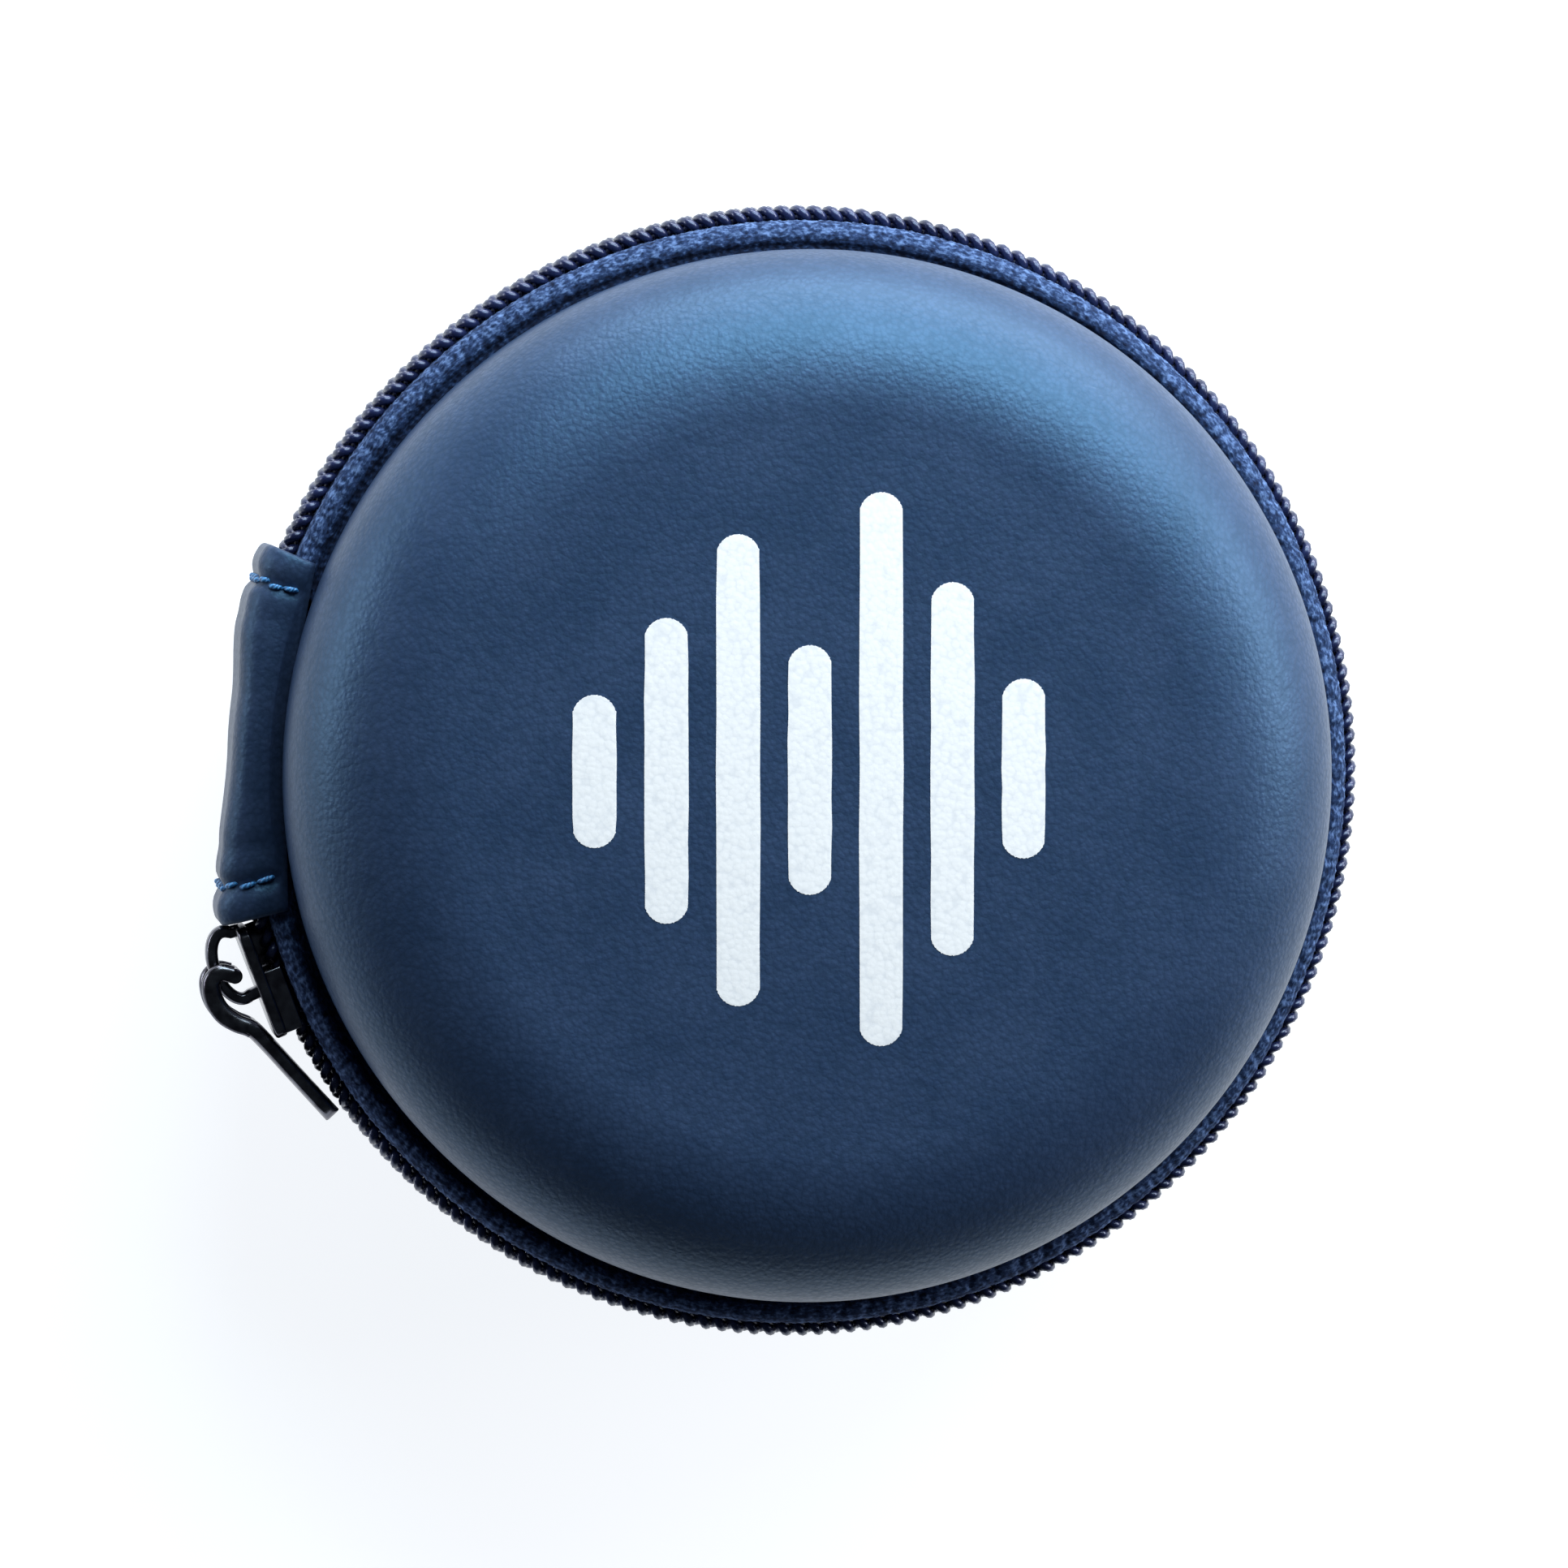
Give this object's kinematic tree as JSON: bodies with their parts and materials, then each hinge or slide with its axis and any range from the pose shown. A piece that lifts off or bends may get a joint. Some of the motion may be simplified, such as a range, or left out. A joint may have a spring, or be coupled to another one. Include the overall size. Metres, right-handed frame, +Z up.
{
  "type": "zip-up earbud case",
  "caption": "Round zip-up carry case: moulded leather-look shells, coil zip round the rim with slider and pull tab, leather hinge strip, lined inside with a net pocket in the lid.",
  "frame": {"origin": "centre of the flat bottom of the closed case, on the surface it stands on", "axes": "+Z up through the lid, hinge strip centred on -X, zip mid-plane at z = 0.0175 m, slider parked beside the strip on the -Y side"},
  "size_m": [0.0849, 0.084, 0.035],
  "materials": {
    "leather": "matte grained leather look",
    "foam": "closed-cell foam",
    "lining": "brushed knit",
    "zip_tape": "woven tape",
    "zip_coil": "glossy coil",
    "binding": "folded woven binding",
    "seam_thread": "twisted thread",
    "net": "knitted net",
    "elastic": "ribbed elastic",
    "blue_thread": "twisted thread",
    "gunmetal": "glossy black nickel"
  },
  "bodies": {
    "base": {"base_skin": "leather", "base_foam_shell": "foam", "base_lining": "lining", "base_rim_binding": "binding", "base_seam_thread": "seam_thread", "base_zip_tape": "zip_tape", "base_zip_coil": "zip_coil", "hinge_strip": "leather", "hinge_lining": "lining", "hinge_stitches_upper": "blue_thread", "hinge_stitches_lower": "blue_thread"},
    "lid": {"lid_skin": "leather", "lid_foam_shell": "foam", "lid_lining": "lining", "lid_rim_binding": "binding", "lid_seam_thread": "seam_thread", "lid_zip_tape": "zip_tape", "lid_zip_coil": "zip_coil", "mesh_pocket": "net", "pocket_elastic": "elastic"},
    "slider": {"slider_body": "gunmetal"},
    "pull_tab": {"pull_tab": "gunmetal"}
  },
  "joints": [
    {"name": "lid_hinge", "type": "hinge", "parent": "base", "child": "lid", "pos_m": [-0.043, 0, 0.0175], "axis": [0, -1, 0], "range_deg": [0, 175], "deforming": ["hinge_strip", "hinge_lining", "hinge_stitches_upper", "hinge_stitches_lower", "lid_zip_tape", "lid_zip_coil"]},
    {"name": "slider_travel", "type": "hinge", "parent": "base", "child": "slider", "pos_m": [0, 0, 0.0175], "axis": [0, 0, 1], "range_deg": [0, 300], "deforming": ["base_zip_tape", "base_zip_coil"]},
    {"name": "pull_tab_swing", "type": "hinge", "parent": "slider", "child": "pull_tab", "pos_m": [-0.04061, -0.01798, 0.0175], "axis": [0, 0, -1], "range_deg": [0, 80]}
  ]
}
